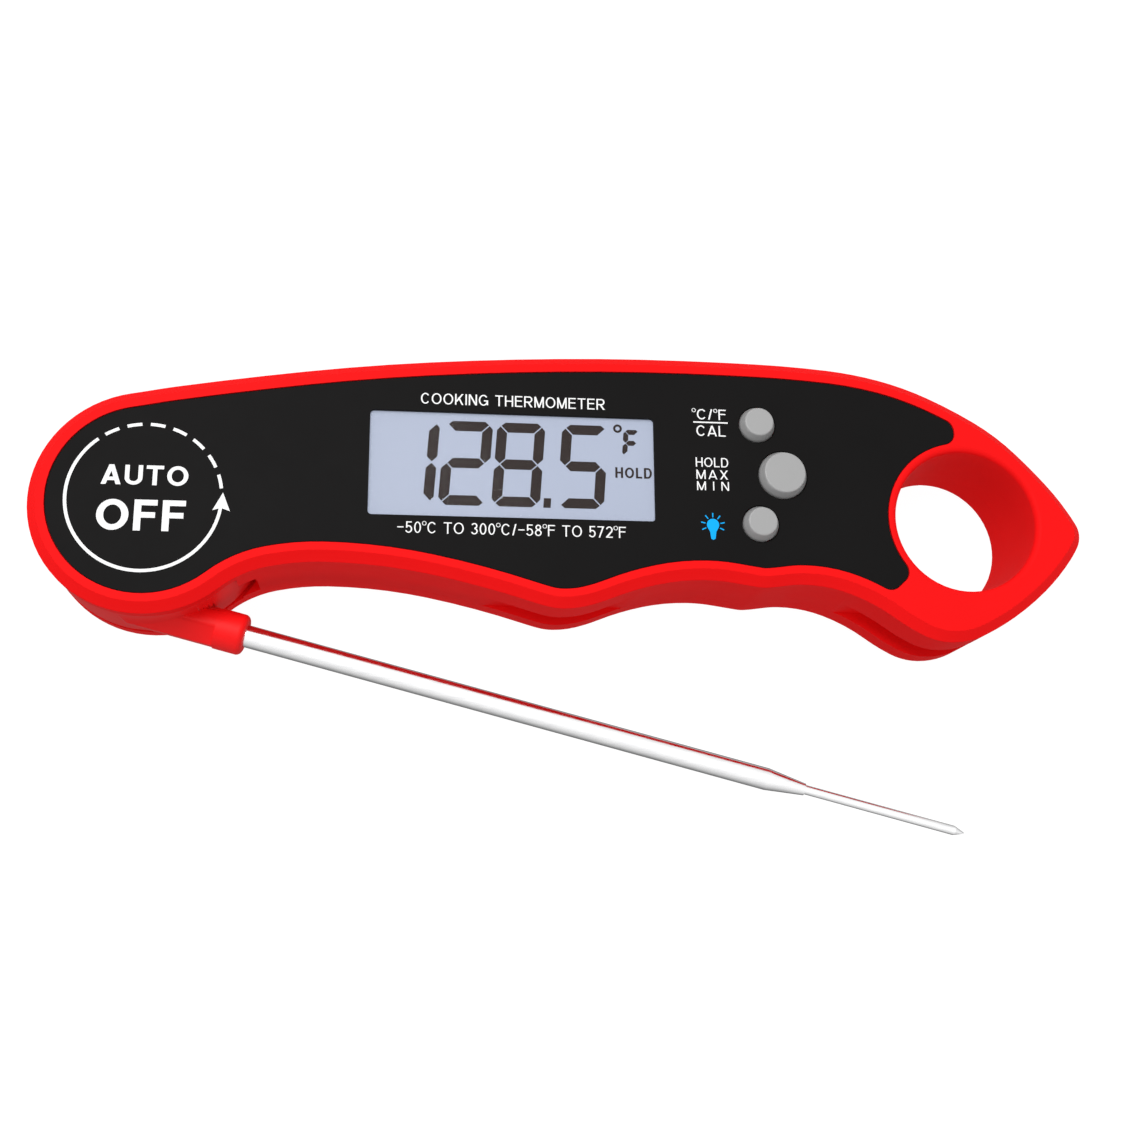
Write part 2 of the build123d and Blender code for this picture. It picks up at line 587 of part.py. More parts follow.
def make_plunger(x, y):
    return disc(x, y, PLUNGER_RADIUS, BOARD_TOP + 1.3, PLUNGER_TOP)


def make_switch_bodies():
    bodies = []
    for x, y, _ in KEYS.values():
        half = SWITCH_SIZE / 2
        body = block(x - half, x + half, y - half, y + half, BOARD_TOP, BOARD_TOP + SWITCH_HEIGHT)
        body -= disc(x, y, PLUNGER_RADIUS + 0.15, BOARD_TOP + 0.6, BOARD_TOP + SWITCH_HEIGHT + 1)
        bodies.append(body.solids()[0])
    return Compound(children=bodies)


def make_keypad_seal():
    x0, x1, y0, y1 = SEAL_SHEET
    sheet = block(x0, x1, y0, y1, SEAL_Z, SEAL_Z + SEAL_THICKNESS)
    for x, y, _ in KEYS.values():
        sheet -= disc(x, y, PLUNGER_RADIUS + 0.65, SEAL_Z - 1, SEAL_Z + 2)
    return sheet


# ---- face --------------------------------------------------------------------------------
def make_face_plate(plate):
    shape = prism(plate, PLATE_FLOOR, PLATE_TOP)
    shape -= plate_at(WINDOW_CENTRE, WINDOW_SIZE, WINDOW_ROUND, PLATE_FLOOR - 1, BODY_THICKNESS)
    for x, y, radius in KEYS.values():
        shape -= disc(x, y, radius + KEY_GAP, PLATE_FLOOR - 1, BODY_THICKNESS)
    return shape


def make_display_window():
    size = (WINDOW_SIZE[0] - 0.1, WINDOW_SIZE[1] - 0.1)
    return plate_at(WINDOW_CENTRE, size, WINDOW_ROUND, PLATE_FLOOR, PLATE_TOP - 0.05)


def around_lcd(grow_x, grow_y, low, high, shift=0.0):
    cx, cy = WINDOW_CENTRE
    hx, hy = LCD_SIZE[0] / 2 + grow_x, LCD_SIZE[1] / 2 + grow_y
    return block(cx - hx + shift, cx + hx + shift, cy - hy, cy + hy, low, high)


def make_lcd_frame():
    frame = around_lcd(1.4, 1.3, BOARD_TOP, CAVITY_TOP - 0.1)
    return frame - around_lcd(0.2, 0.1, BOARD_TOP - 1, CAVITY_TOP + 1)


def make_zebra_strips():
    cx, cy = WINDOW_CENTRE
    strips = []
    for side in (-1, 1):
        y = cy + side * (LCD_SIZE[1] / 2 - 1.1)
        strips.append(block(cx - 23, cx + 23, y - 0.9, y + 0.9, BOARD_TOP, LCD_Z))
    return Compound(children=strips)


def make_backlight_leds():
    cx, cy = WINDOW_CENTRE
    leds = []
    for y in (cy - 4.5, cy + 4.5):
        leds.append(block(cx + 22.6, cx + 24.2, y - 1.6, y + 1.6, BOARD_TOP, LCD_Z - 0.3))
    return Compound(children=leds)


def make_circuit_board():
    board = block(*BOARD_MAIN, BOARD_Z, BOARD_TOP) + block(*BOARD_TONGUE, BOARD_Z, BOARD_TOP)
    for x, y in HOUSING_SCREWS:
        board -= disc(x, y, BOSS_RADIUS + 0.3, BOARD_Z - 1, BOARD_TOP + 1)
    for x, y in BOARD_SCREWS:
        board -= disc(x, y, BOARD_SCREW_RADIUS + 0.1, BOARD_Z - 1, BOARD_TOP + 1)
    return board


def make_board_screws():
    screws = []
    for x, y in BOARD_SCREWS:
        screw = disc(x, y, 1.6, BOARD_Z - 1.0, BOARD_Z)
        screw += disc(x, y, BOARD_SCREW_RADIUS, BOARD_Z, BOARD_Z + BOARD_SCREW_LENGTH)
        screw -= block(x - 1.2, x + 1.2, y - 0.2, y + 0.2, BOARD_Z - 1.5, BOARD_Z - 0.6)
        screws.append(screw.solids()[0])
    return Compound(children=screws)


def make_housing_screws():
    screws = []
    for x, y in HOUSING_SCREWS:
        head = disc(x, y, SCREW_HEAD, SCREW_SEAT - SCREW_HEAD_HEIGHT, SCREW_SEAT)
        head = fillet(head.edges().group_by(Axis.Z)[0], 0.5)
        screw = head + disc(x, y, SCREW_RADIUS, SCREW_SEAT, SCREW_SEAT + SCREW_LENGTH)
        for turn in (0, 90):
            cross = Rot(0, 0, turn) * Box(2.4, 0.55, 1.6)
            screw -= Pos(x, y, SCREW_SEAT - SCREW_HEAD_HEIGHT) * cross
        screws.append(screw.solids()[0])
    return Compound(children=screws)


def make_board_components():
    """Two rows of small resistors and capacitors under the keys."""
    parts = []
    for column in range(4):
        x = BOARD_MAIN[1] - 14.6 + 2.6 * column
        for y in (4.0, 9.0):
            parts.append(block(x, x + 1.2, y, y + 2.0, BOARD_Z - 0.6, BOARD_Z))
    return Compound(children=parts)


def make_reed_switch():
    glass = Pos(*REED_PLACE, BOARD_Z - 1.0) * Rot(90, 0, 0) * Cylinder(0.9, 8.0)
    return fillet(glass.edges(), 0.5)


# ---- build every piece -----------------------------------------------------------------------
os.makedirs("parts", exist_ok=True)
body = body_outline()
room = cavity_outline(body)
plate = plate_outline(body)
bay_x, bay_y = BAY_CENTRE
bush_outer = JOURNAL_RADIUS + RUNNING_GAP + BUSH_WALL
bush_bore = JOURNAL_RADIUS + RUNNING_GAP

save("front_cover", make_front_cover(body, room, plate))
save("rear_cover", make_rear_cover(body, room))
save("housing_gasket", gasket_band(room, 0.4, 1.1, SPLIT_Z - 0.65, SPLIT_Z - 0.02))
save("housing_screws", make_housing_screws())
save("face_plate", make_face_plate(plate))
save("display_window", make_display_window())
save("lcd_panel", plate_at(WINDOW_CENTRE, LCD_SIZE, 0.3, LCD_Z, LCD_TOP))
save("lcd_gasket", plate_at(WINDOW_CENTRE, LCD_SIZE, 0.3, LCD_TOP, PLATE_FLOOR)
     - plate_at(WINDOW_CENTRE, (WINDOW_SIZE[0] + 0.6, WINDOW_SIZE[1] + 0.6), 0.6,
                LCD_TOP - 1, PLATE_FLOOR + 1))
save("backlight_diffuser", around_lcd(-2.0, -2.2, LCD_Z - 2.0, LCD_Z - 0.1, shift=-1.0))
save("backlight_leds", make_backlight_leds())
save("zebra_strips", make_zebra_strips())
save("lcd_frame", make_lcd_frame())
save("circuit_board", make_circuit_board())
save("board_screws", make_board_screws())
save("controller_chip", plate_at(CHIP_PLACE, (CHIP_SIDE, CHIP_SIDE), 0.4, BOARD_Z - 1.1, BOARD_Z))
save("crystal", fillet(block(*CRYSTAL, BOARD_Z - 1.2, BOARD_Z).edges().filter_by(Axis.Z), 0.7))
save("board_components", make_board_components())
save("reed_switch", make_reed_switch())
save("switch_bodies", make_switch_bodies())
save("keypad_seal", make_keypad_seal())
for name, (x, y, radius) in KEYS.items():
    save(f"{name}_key", make_key(x, y, radius))
    save(f"{name}_switch_plunger", make_plunger(x, y))
save("battery", fillet(disc(bay_x, bay_y, CELL_RADIUS, CELL_Z, CELL_Z + CELL_THICKNESS).edges(), 0.4))
save("battery_contacts", make_battery_contacts())
save("battery_cover", make_battery_cover())
save("battery_cover_seal", ring_seal(bay_x, bay_y, LID_SEAL_RADIUS, LID_SEAL_CORD, LID_SEAT + 0.42))
save("rear_magnets", Compound(children=[
    disc(x, y, MAGNET_RADIUS, REAR_WALL - 0.6, REAR_WALL - 0.6 + MAGNET_THICKNESS)
    for x, y in MAGNET_PLACES]))
save("front_bush", tube(0, 0, bush_outer - 0.02, bush_bore, EAR_FRONT_Z + 0.05, BUSH_FRONT_TOP - 0.02))
save("rear_bush", tube(0, 0, bush_outer - 0.02, bush_bore,
                       BUSH_FLOOR + 0.02, EAR_REAR_THICKNESS - 0.05))
save("front_pivot_seal", ring_seal(0, 0, PIVOT_SEAL_RADIUS, PIVOT_SEAL_CORD, EAR_FRONT_Z + 0.3))
save("rear_pivot_seal", ring_seal(0, 0, PIVOT_SEAL_RADIUS, PIVOT_SEAL_CORD, EAR_REAR_THICKNESS - 0.3))
save("lead_cover", block(bush_outer + 0.1, HUB_RADIUS + MOVING_GAP - 0.1, 0.05 - LEAD_WIDTH,
                         LEAD_WIDTH - 0.05, LEAD_FLOOR + 1.3, EAR_REAR_THICKNESS - 0.9))
save("board_leads", make_board_leads())
save("probe_arm", arm_turn(make_probe_arm()))
save("arm_cover", arm_turn(make_arm_cover()))
save("arm_screws", arm_turn(make_arm_screws()))
save("hub_magnet", arm_turn(disc(*HUB_MAGNET, MAGNET_PIN, ARM_SPLIT + 0.05, ARM_SPLIT + 3.0)))
save("probe_tube", arm_turn(make_probe_tube()))
save("probe_needle", arm_turn(make_probe_needle()))
save("probe_seal", arm_turn(Pos(NOSE_LENGTH - 2.6, -PROBE_OFFSET, PROBE_Z) * Rot(0, 90, 0)
                           * (Cylinder(PROBE_RADIUS + 0.65, 1.0) - Cylinder(PROBE_RADIUS + 0.01, 2.0))))
save("thermistor", arm_turn(make_thermistor()))
save("sensor_leads", arm_turn(make_sensor_leads()))
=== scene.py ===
from math import cos, radians, sin

import bpy
from mathutils import Matrix, Vector


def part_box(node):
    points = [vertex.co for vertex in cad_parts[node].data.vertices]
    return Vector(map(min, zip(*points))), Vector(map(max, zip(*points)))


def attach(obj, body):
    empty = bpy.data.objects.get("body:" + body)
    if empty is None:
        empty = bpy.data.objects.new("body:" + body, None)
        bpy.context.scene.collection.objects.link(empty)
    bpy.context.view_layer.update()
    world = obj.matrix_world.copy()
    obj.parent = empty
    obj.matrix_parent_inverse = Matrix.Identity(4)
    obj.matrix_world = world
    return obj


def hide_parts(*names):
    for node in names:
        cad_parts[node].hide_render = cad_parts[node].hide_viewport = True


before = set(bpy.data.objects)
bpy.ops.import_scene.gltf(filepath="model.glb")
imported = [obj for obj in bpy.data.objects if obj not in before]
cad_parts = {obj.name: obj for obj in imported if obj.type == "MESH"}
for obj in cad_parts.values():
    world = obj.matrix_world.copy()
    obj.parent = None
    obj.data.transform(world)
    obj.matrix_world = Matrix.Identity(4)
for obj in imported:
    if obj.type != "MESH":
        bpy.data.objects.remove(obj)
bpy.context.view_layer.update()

# ---- Table, daylight and camera ---------------------------------------------------
# The thermometer lies on its back on a white table, under one large soft lamp above
# the display and a pale surround.  The table is clear from below, to show the underside.
MM = 0.001
CAMERA_PLACE = Vector((38.57, -64.54, 232.96)) * MM
CAMERA_RIGHT = Vector((0.993497, -0.005989, 0.113698))
CAMERA_UP = Vector((-0.022524, 0.968540, 0.247835))
CAMERA_BACK = Vector((-0.111606, -0.248784, 0.962107))
LENS = 46.24
SENSOR = 36.0

bpy.context.scene.view_settings.view_transform = "Standard"

bpy.ops.object.camera_add()
camera = bpy.context.object
camera.name = "camera"
camera.data.lens = LENS
camera.data.sensor_width = SENSOR
camera.data.clip_start = 0.01
turn = Matrix((CAMERA_RIGHT, CAMERA_UP, CAMERA_BACK)).transposed().to_4x4()
camera.matrix_world = Matrix.Translation(CAMERA_PLACE) @ turn
bpy.context.scene.camera = camera


def shader(name):
    """A new material: its tree, its surface shader and its object coordinates."""
    material = bpy.data.materials.new(name)
    material.use_nodes = True
    tree = material.node_tree
    place = tree.nodes.new("ShaderNodeTexCoord").outputs["Object"]
    return material, tree, tree.nodes["Principled BSDF"], place


def join(tree, kind, place=None, **inputs):
    """A node of this kind, fed from place, with its inputs set or linked."""
    node = tree.nodes.new("ShaderNode" + kind)
    if place is not None:
        tree.links.new(place, node.inputs["Vector"])
    for key, value in inputs.items():
        socket = node.inputs[key.replace("_", " ")]
        if isinstance(value, bpy.types.NodeSocket):
            tree.links.new(value, socket)
        else:
            socket.default_value = value
    return node


def ramp(tree, source, low, high, start=0.0, end=1.0):
    """A value or colour that runs from low to high as source runs from start to end."""
    node = tree.nodes.new("ShaderNodeValToRGB")
    tree.links.new(source, node.inputs["Fac"])
    for stop, place, tone in zip(node.color_ramp.elements, (start, end), (low, high)):
        stop.position = place
        stop.color = (*tone, 1.0) if isinstance(tone, tuple) else (tone, tone, tone, 1.0)
    return node.outputs["Color"]


TABLE_SIZE = 40.0
TABLE_DROP = 0.05 * MM
bpy.ops.mesh.primitive_plane_add(size=TABLE_SIZE, location=(0, 0, -TABLE_DROP))
table = bpy.context.object
table.name = "table"
white_table, tree, surface, place = shader("white_table")
fine = join(tree, "TexNoise", place, Scale=40.0, Detail=3.0)
tree.links.new(ramp(tree, fine.outputs["Fac"], (0.10, 0.10, 0.10), (0.12, 0.12, 0.12)),
               surface.inputs["Base Color"])
surface.inputs["Roughness"].default_value = 0.8
surface.inputs["Specular IOR Level"].default_value = 0.1
surface.inputs["Emission Color"].default_value = (1, 1, 1, 1)
surface.inputs["Emission Strength"].default_value = 0.97
side = tree.nodes.new("ShaderNodeNewGeometry")
clear = tree.nodes.new("ShaderNodeBsdfTransparent")
one_sided = join(tree, "MixShader", Fac=side.outputs["Backfacing"])
tree.links.new(surface.outputs["BSDF"], one_sided.inputs[1])
tree.links.new(clear.outputs["BSDF"], one_sided.inputs[2])
tree.links.new(one_sided.outputs["Shader"], tree.nodes["Material Output"].inputs["Surface"])
table.data.materials.append(white_table)
table.visible_diffuse = False
table.visible_glossy = False

LAMP_WAY = Vector((-0.25, 0.28, 0.93))
LAMP_DISTANCE = 0.8
LAMP_AIM = Vector((0.06, 0, 0))
bpy.ops.object.light_add(type="AREA", location=LAMP_AIM + LAMP_WAY * LAMP_DISTANCE,
                         rotation=LAMP_WAY.to_track_quat("Z", "Y").to_euler())
lamp = bpy.context.object
lamp.name = "softbox"
lamp.data.size = 0.42
lamp.data.energy = 3.4

surround = bpy.data.worlds.new("surround")
surround.use_nodes = True
tree = surround.node_tree
upward = join(tree, "SeparateXYZ", tree.nodes.new("ShaderNodeTexCoord").outputs["Generated"])
height = join(tree, "MapRange", Value=upward.outputs["Z"], From_Min=-1.0)


def surround_tones(*tones):
    """Brightness of the surround, from straight below (0) past the horizon (0.5) to overhead (1)."""
    node = tree.nodes.new("ShaderNodeValToRGB")
    tree.links.new(height.outputs["Result"], node.inputs["Fac"])
    node.color_ramp.elements.remove(node.color_ramp.elements[0])
    for place, tone in tones:
        stop = node.color_ramp.elements.new(place)
        stop.color = (tone, tone, tone, 1)
    node.color_ramp.elements[-1].color = node.color_ramp.elements[-2].color
    return node.outputs["Color"]


BRIGHTEST = 1.25
lighting = surround_tones((0.0, 0.4), (0.44, 0.4), (0.49, 0.78), (0.56, 0.78),
                          (0.72, 0.22), (0.88, 0.24), (0.95, 1.0))
mirrored = surround_tones((0.0, 0.16), (0.12, 0.18), (0.3, 0.4), (0.5, 0.6), (0.75, 0.8), (0.95, 1.0))
ray = tree.nodes.new("ShaderNodeLightPath")
seen = join(tree, "MixRGB", Fac=ray.outputs["Is Glossy Ray"], Color1=lighting, Color2=mirrored)
tree.links.new(seen.outputs["Color"], tree.nodes["Background"].inputs["Color"])
tree.nodes["Background"].inputs["Strength"].default_value = BRIGHTEST
bpy.context.scene.world = surround


# ---- Rear cover -------------------------------------------------------------------
# The lower half of the body, injection moulded in red ABS with a fine satin spark
# texture.  Its edges are broken where the mould parts.
def moulded(name, colour, roughness, grain=0.00002, gloss=0.5, coat=0.0, speck=0.04):
    """Moulded plastic: faint flow streaks in the colour, a fine grain and worn-smooth patches."""
    material, tree, surface, place = shader(name)
    flow = join(tree, "TexNoise", place, Scale=60.0, Detail=4.0, Roughness=0.6)
    dark = tuple(c * (1 - speck) for c in colour)
    light = tuple(min(1.0, c * (1 + speck)) for c in colour)
    tree.links.new(ramp(tree, flow.outputs["Fac"], dark, light, 0.3, 0.7), surface.inputs["Base Color"])
    touch = join(tree, "TexNoise", place, Scale=220.0, Detail=3.0)
    tree.links.new(ramp(tree, touch.outputs["Fac"], roughness * 0.95, roughness * 1.05, 0.3, 0.7),
                   surface.inputs["Roughness"])
    spark = join(tree, "TexNoise", place, Scale=4200.0, Detail=2.0)
    bump = join(tree, "Bump", Height=spark.outputs["Fac"], Distance=grain, Strength=0.5)
    tree.links.new(bump.outputs["Normal"], surface.inputs["Normal"])
    surface.inputs["Specular IOR Level"].default_value = gloss
    surface.inputs["Coat Weight"].default_value = coat
    surface.inputs["Coat Roughness"].default_value = 0.08
    return material


def only(piece):
    """Selects this piece alone."""
    if bpy.context.object and bpy.context.object.mode != "OBJECT":
        bpy.ops.object.mode_set(mode="OBJECT")
    bpy.ops.object.select_all(action="DESELECT")
    piece.select_set(True)
    bpy.context.view_layer.objects.active = piece


def dressed(node, name, body, material, levels=(), edge=0.15):
    """A finished copy of a made part: one skin, the edges that lie level at these heights
    eased by a small radius, and smooth curves between crisp flats."""
    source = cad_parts[node]
    piece = source.copy()
    piece.data = source.data.copy()
    piece.name = name
    piece.parent = None
    for key in list(piece.keys()):
        del piece[key]
    bpy.context.scene.collection.objects.link(piece)
    only(piece)
    bpy.ops.object.mode_set(mode="EDIT")
    bpy.ops.mesh.select_all(action="SELECT")
    bpy.ops.mesh.remove_doubles(threshold=0.000002)
    bpy.ops.mesh.dissolve_limited(angle_limit=radians(0.3))
    bpy.ops.mesh.select_all(action="DESELECT")
    bpy.ops.mesh.select_mode(type="EDGE")
    bpy.ops.mesh.edges_select_sharp(sharpness=radians(25))
    bpy.ops.object.mode_set(mode="OBJECT")
    points = piece.data.vertices
    for line in piece.data.edges:
        ends = [points[i].co.z / MM for i in line.vertices]
        level = any(abs(ends[0] - z) < 0.02 and abs(ends[1] - z) < 0.02 for z in levels)
        line.select = line.select and level
    if levels:
        bpy.ops.object.mode_set(mode="EDIT")
        bpy.ops.mesh.bevel(offset=edge * MM, segments=3, clamp_overlap=True)
        bpy.ops.object.mode_set(mode="OBJECT")
    piece.data.materials.clear()
    piece.data.materials.append(material)
    bpy.ops.object.shade_smooth_by_angle(angle=radians(32))
    crisp = piece.modifiers.new("crisp", "WEIGHTED_NORMAL")
    crisp.keep_sharp = True
    crisp.weight = 80
    bpy.ops.object.modifier_apply(modifier=crisp.name)
    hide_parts(node)
    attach(piece, body)
    return piece


def finish_node(node, material):
    """A made part whose own shape stays, with its real finish."""
    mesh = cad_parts[node].data
    mesh.materials.clear()
    mesh.materials.append(material)


RED = (0.93, 0.009, 0.010)
red_abs = moulded("red_abs", RED, 0.45, grain=0.000012, gloss=0.02, speck=0.02)
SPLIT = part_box("rear_cover")[1].z / MM
REAR_EDGE = 1.6
dressed("rear_cover", "rear_shell", "housing", red_abs, levels=(0.0, REAR_EDGE, SPLIT))

# ---- Battery bay ------------------------------------------------------------------
# A coin cell under a bayonet lid that turns with a coin, sealed by a rubber ring.
LID_RECESS = 0.3
dressed("battery_cover", "battery_lid_shell", "battery_lid", red_abs,
        levels=(0.0, LID_RECESS), edge=0.08)
black_rubber = moulded("black_rubber", (0.02, 0.02, 0.02), 0.7, grain=0.00002, gloss=0.3)
nickel, tree, surface, place = shader("nickel_plate")
streaks = join(tree, "TexNoise", place, Scale=900.0, Detail=5.0)
tree.links.new(ramp(tree, streaks.outputs["Fac"], 0.16, 0.3), surface.inputs["Roughness"])
surface.inputs["Base Color"].default_value = (0.72, 0.71, 0.69, 1)
surface.inputs["Metallic"].default_value = 1.0
for node in ("battery", "battery_contacts", "rear_magnets", "hub_magnet", "crystal"):
    finish_node(node, nickel)

# ---- Inside the body --------------------------------------------------------------
# Circuit board with its parts, the display stack and the rubber seals.
green_mask = moulded("green_mask", (0.01, 0.12, 0.04), 0.3, gloss=0.5, coat=0.3, speck=0.15)
chip_black = moulded("chip_black", (0.015, 0.015, 0.016), 0.55)
natural_acetal = moulded("natural_acetal", (0.8, 0.79, 0.74), 0.4)
milky_light = moulded("milky_light", (0.85, 0.86, 0.88), 0.35)
black_frame = moulded("black_frame", (0.02, 0.02, 0.021), 0.5)
lead_sleeve = moulded("lead_sleeve", (0.45, 0.44, 0.40), 0.6)
finish_node("circuit_board", green_mask)
for node in ("controller_chip", "board_components", "thermistor"):
    finish_node(node, chip_black)
for node in ("front_bush", "rear_bush", "unit_switch_plunger", "hold_switch_plunger",
             "light_switch_plunger"):
    finish_node(node, natural_acetal)
for node in ("backlight_diffuser", "backlight_leds"):
    finish_node(node, milky_light)
for node in ("lcd_frame", "switch_bodies"):
    finish_node(node, black_frame)
for node in ("sensor_leads", "board_leads"):
    finish_node(node, lead_sleeve)
for node in ("housing_gasket", "lcd_gasket", "zebra_strips", "keypad_seal", "battery_cover_seal",
             "front_pivot_seal", "rear_pivot_seal", "probe_seal"):
    finish_node(node, black_rubber)
finish_node("lead_cover", red_abs)

reed_glass, tree, surface, place = shader("reed_glass")
bubbles = join(tree, "TexNoise", place, Scale=500.0)
tree.links.new(ramp(tree, bubbles.outputs["Fac"], 0.03, 0.08), surface.inputs["Roughness"])
surface.inputs["Base Color"].default_value = (0.55, 0.8, 0.65, 1)
surface.inputs["Transmission Weight"].default_value = 0.7
finish_node("reed_switch", reed_glass)

# ---- Screws -----------------------------------------------------------------------
# Zinc plated self-tapping screws with a cross recess, sunk in the rear cover.
zinc, tree, surface, place = shader("zinc_plate")
cloud = join(tree, "TexNoise", place, Scale=700.0, Detail=4.0)
tree.links.new(ramp(tree, cloud.outputs["Fac"], (0.42, 0.42, 0.43), (0.58, 0.58, 0.58), 0.3, 0.7),
               surface.inputs["Base Color"])
tree.links.new(ramp(tree, cloud.outputs["Fac"], 0.25, 0.45), surface.inputs["Roughness"])
surface.inputs["Metallic"].default_value = 1.0
dressed("housing_screws", "cross_screws", "housing", zinc)
dressed("arm_screws", "hub_screws", "folding_probe", zinc)
finish_node("board_screws", zinc)

# ---- Hub and nose -----------------------------------------------------------------
# The red arm that turns between the two covers, glossier than the body, with its rear disc.
gloss_red = moulded("gloss_red", RED, 0.45, grain=0.000004, gloss=0.15, speck=0.02)
dressed("probe_arm", "arm_shell", "folding_probe", gloss_red)
dressed("arm_cover", "arm_back", "folding_probe", gloss_red)

# ---- Probe ------------------------------------------------------------------------
# Drawn stainless tube, swaged down to a thin tip and ground to a point.
steel, tree, surface, place = shader("drawn_steel")
along = join(tree, "Mapping", place, Rotation=(0, 0, radians(14.8)), Scale=(60, 3000, 3000))
drawn = join(tree, "TexNoise", along.outputs["Vector"], Scale=1.0, Detail=4.0)
tree.links.new(ramp(tree, drawn.outputs["Fac"], (0.80, 0.80, 0.81), (0.90, 0.90, 0.90), 0.3, 0.7),
               surface.inputs["Base Color"])
tree.links.new(ramp(tree, drawn.outputs["Fac"], 0.14, 0.24, 0.3, 0.7), surface.inputs["Roughness"])
surface.inputs["Metallic"].default_value = 1.0
dressed("probe_tube", "steel_tube", "folding_probe", steel)
dressed("probe_needle", "steel_needle", "folding_probe", steel)

# ---- Front cover ------------------------------------------------------------------
# The deep upper half: chamfered rim, ring, stow channel, and the seat for the face plate.
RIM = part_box("front_cover")[1].z / MM
FRONT_EDGE = 1.5
SLOT_ROOF = 11.2
dressed("front_cover", "front_shell", "housing", red_abs,
        levels=(RIM, RIM - FRONT_EDGE, SLOT_ROOF, SPLIT))

# ---- Display ----------------------------------------------------------------------
# A blue-grey reflective liquid crystal panel that also glows faintly.  Its dark segments sit on the glass,
# under the clear window.
glowing_lcd_film, tree, surface, place = shader("glowing_lcd_film")
cells = join(tree, "TexVoronoi", place, Scale=9000.0)
tree.links.new(ramp(tree, cells.outputs["Distance"], (0.28, 0.31, 0.39), (0.30, 0.33, 0.41)),
               surface.inputs["Base Color"])
surface.inputs["Roughness"].default_value = 0.5
surface.inputs["Specular IOR Level"].default_value = 0.05
# The glow stands partly for a lit backlight and is partly painted light that evens out the shade in the
# panel's recess.
surface.inputs["Emission Color"].default_value = (0.50, 0.56, 0.71, 1)
surface.inputs["Emission Strength"].default_value = 0.48
finish_node("lcd_panel", glowing_lcd_film)

LCD_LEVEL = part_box("lcd_panel")[1].z
PLATE_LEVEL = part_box("face_plate")[1].z
PRINT_THICKNESS = 0.02 * MM
segment_ink = moulded("segment_ink", (0.048, 0.037, 0.034), 0.6, grain=0.000002, gloss=0.0)


def flat_shape(name, corners, level, thickness=PRINT_THICKNESS):
    """A thin flat piece with these corners, in millimetres, standing on a level."""
    bpy.ops.object.select_all(action="DESELECT")
    bpy.ops.mesh.primitive_circle_add(vertices=len(corners), fill_type="NGON")
    piece = bpy.context.object
    piece.name = name
    for vertex, corner in zip(piece.data.vertices, corners):
        vertex.co = (corner[0] * MM, corner[1] * MM, level)
    bpy.ops.object.mode_set(mode="EDIT")
    bpy.ops.mesh.select_all(action="SELECT")
    bpy.ops.mesh.extrude_region_move(TRANSFORM_OT_translate={"value": (0, 0, thickness)})
    bpy.ops.mesh.select_all(action="SELECT")
    bpy.ops.mesh.normals_make_consistent(inside=False)
    bpy.ops.object.mode_set(mode="OBJECT")
    return piece


def gather(pieces, name, body, material):
    """Joins shapes into one named piece that rides with a body."""
    bpy.ops.object.select_all(action="DESELECT")
    for piece in pieces:
        piece.select_set(True)
    bpy.context.view_layer.objects.active = pieces[0]
    if len(pieces) > 1:
        bpy.ops.object.join()
    piece = bpy.context.object
    piece.name = name
    piece.data.materials.clear()
    piece.data.materials.append(material)
    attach(piece, body)
    return piece


SLANT = 0.07
LIT = {"1": "bc", "2": "abged", "8": "abcdefg", "5": "afgcd", "F": "aefg"}


def segment(kind, left, foot, width, height, bar):
    """Corners of one bar of a seven-segment figure, mitred where it meets its neighbours."""
    gap, half, mid, tip, edge = 0.08 * bar, bar / 2, height / 2, 0.32 * bar, 0.7 * bar
    if kind == "g":
        shape = [(gap + half, mid), (gap + bar, mid + half), (width - gap - bar, mid + half),
                 (width - gap - half, mid), (width - gap - bar, mid - half), (gap + bar, mid - half)]
    elif kind in "ad":
        shape = [(gap + edge, height), (width - gap - edge, height), (width - gap - tip, height - tip),
                 (width - gap - bar, height - bar), (gap + bar, height - bar), (gap + tip, height - tip)]
    else:
        shape = [(0, height - gap - edge), (tip, height - gap - tip), (bar, height - gap - bar),
                 (bar, mid + half + gap), (half, mid + gap), (0, mid + half + gap)]
    if kind in "bc":
        shape = [(width - x, y) for x, y in shape]
    if kind in "dec":
        shape = [(x, height - y) for x, y in shape]
    return [(left + x + y * SLANT, foot + y) for x, y in shape]


digits = []
for figure, left, foot, width, height, bar in (
        ("1", 35.3, 0.42, 7.55, 13.7, 1.62), ("2", 43.55, 0.42, 7.55, 13.7, 1.62),
        ("8", 51.75, 0.42, 7.55, 13.7, 1.62), ("5", 61.95, 0.42, 7.35, 13.7, 1.62),
        ("F", 72.3, 9.15, 2.6, 4.45, 0.82)):
    for kind in LIT[figure]:
        digits.append(flat_shape("bar", segment(kind, left, foot, width, height, bar), LCD_LEVEL))
digits.append(flat_shape("point", [(59.85, 0.4), (61.0, 0.4), (61.1, 1.95), (59.95, 1.95)], LCD_LEVEL))


def ring_shape(name, x, y, radius, width, level, start=0.0, end=360.0, thickness=PRINT_THICKNESS):
    """A printed ring, or an arc of one, in millimetres and degrees."""
    steps = max(3, int(abs(end - start) / 4))
    outer, inner = radius + width / 2, radius - width / 2
    angles = [radians(start + (end - start) * step / steps) for step in range(steps + 1)]
    corners = [(x + outer * cos(a), y + outer * sin(a)) for a in angles]
    corners += [(x + inner * cos(a), y + inner * sin(a)) for a in reversed(angles)]
    return flat_shape(name, corners, level, thickness)


digits.append(ring_shape("degree", 71.65, 13.75, 0.52, 0.36, LCD_LEVEL, 0, 359.5))


